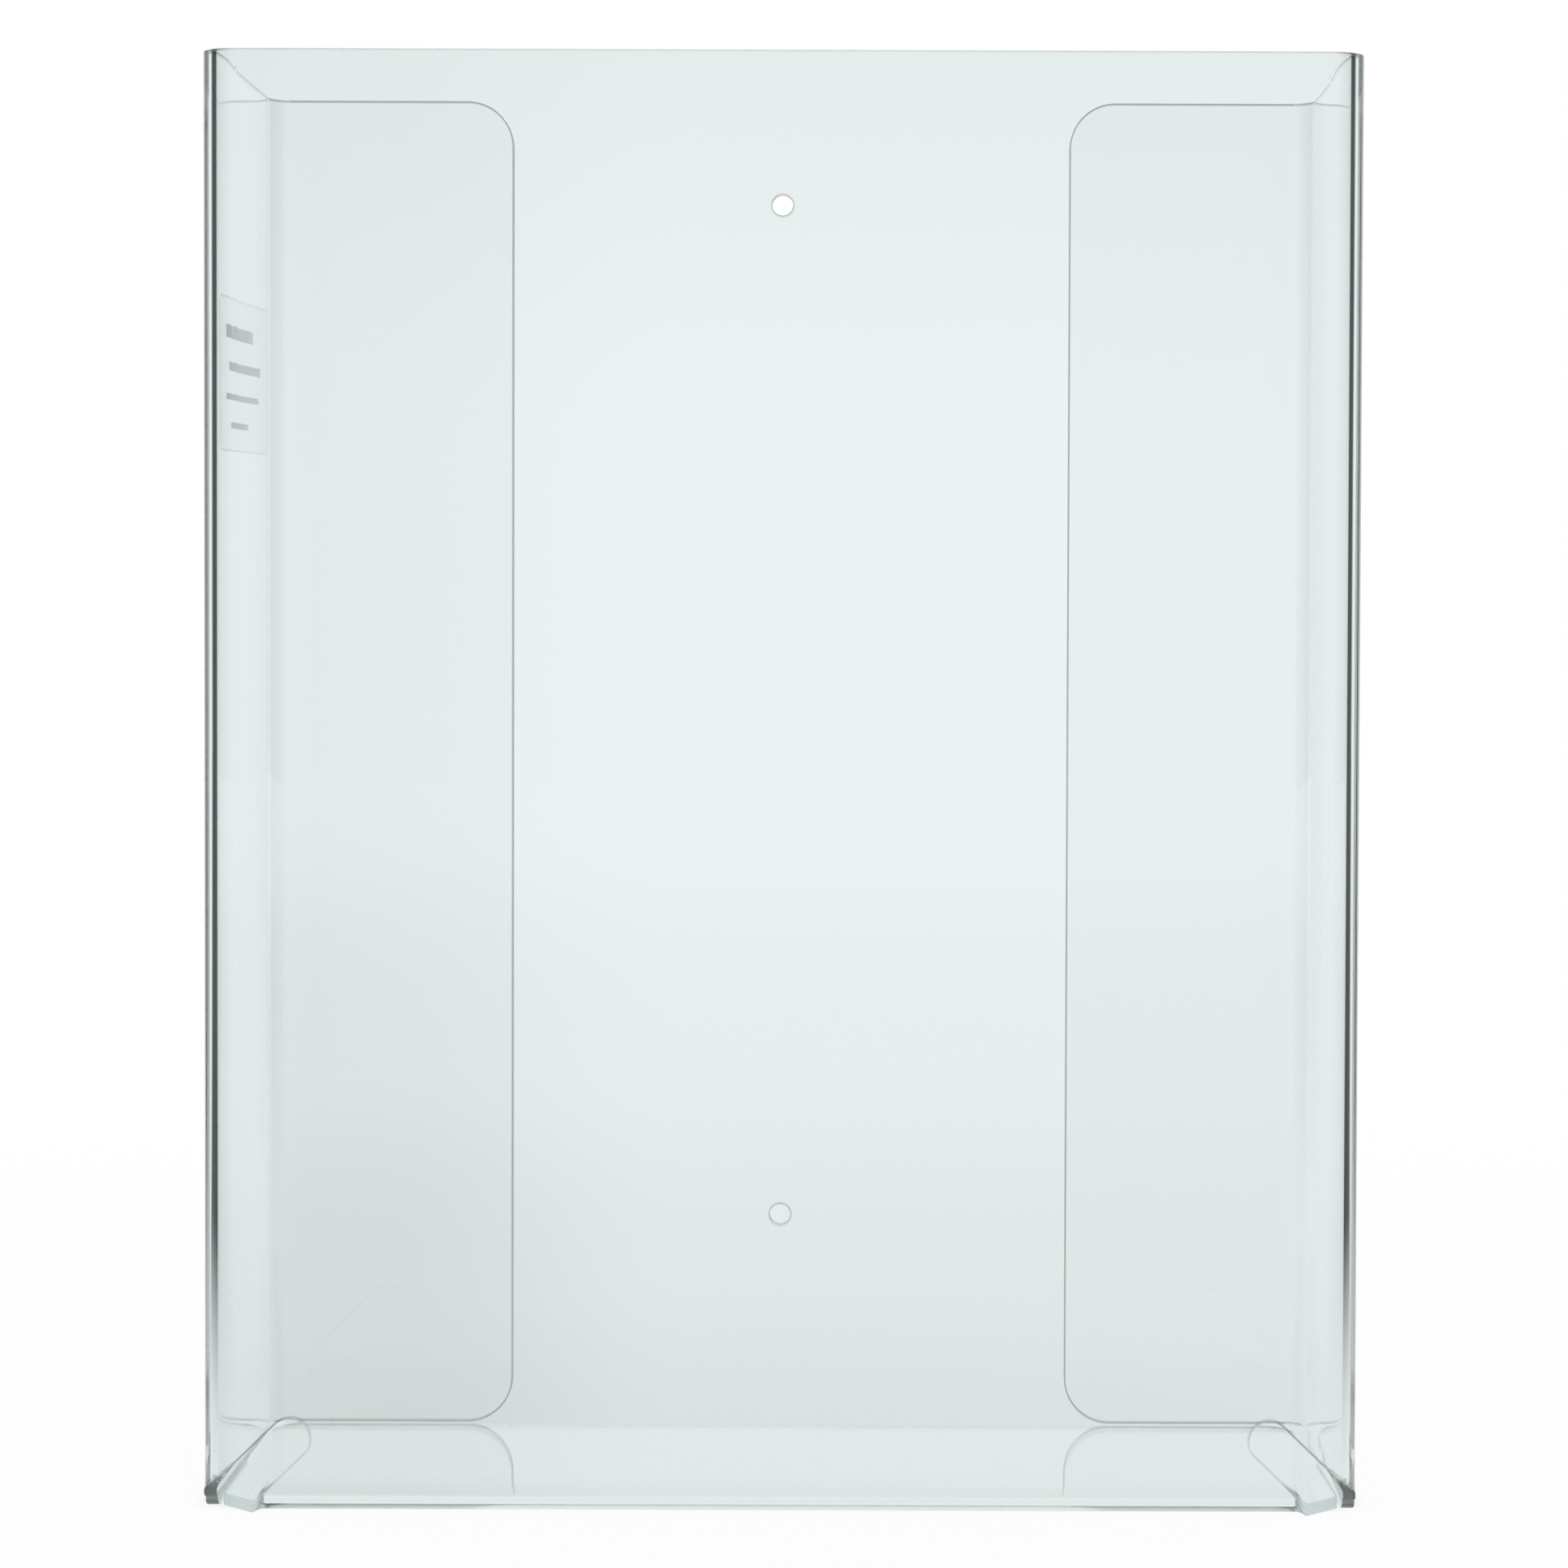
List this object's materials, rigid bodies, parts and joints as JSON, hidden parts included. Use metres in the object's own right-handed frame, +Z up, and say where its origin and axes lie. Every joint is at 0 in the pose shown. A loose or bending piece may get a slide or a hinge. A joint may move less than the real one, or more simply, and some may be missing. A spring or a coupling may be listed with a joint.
{
  "type": "disposable glove dispenser",
  "caption": "Clear wall holder for boxes of disposable gloves: one folded sheet with open top, open front window, floor shelf and relief slots.",
  "frame": {"origin": "centre of the bounding box in plan, on the underside of the shelf", "axes": "+Z up, along the height; -Y is the wall side, +Y the open front with its two flanges; +X runs across the width, away from the labelled wall"},
  "size_m": [0.2801, 0.096, 0.353],
  "materials": {
    "clear_sheet": "clear, polished",
    "label_film": "clear film with plain grey bars"
  },
  "bodies": {
    "root": {"dispenser_body": "clear_sheet", "side_label": "label_film"}
  },
  "joints": []
}
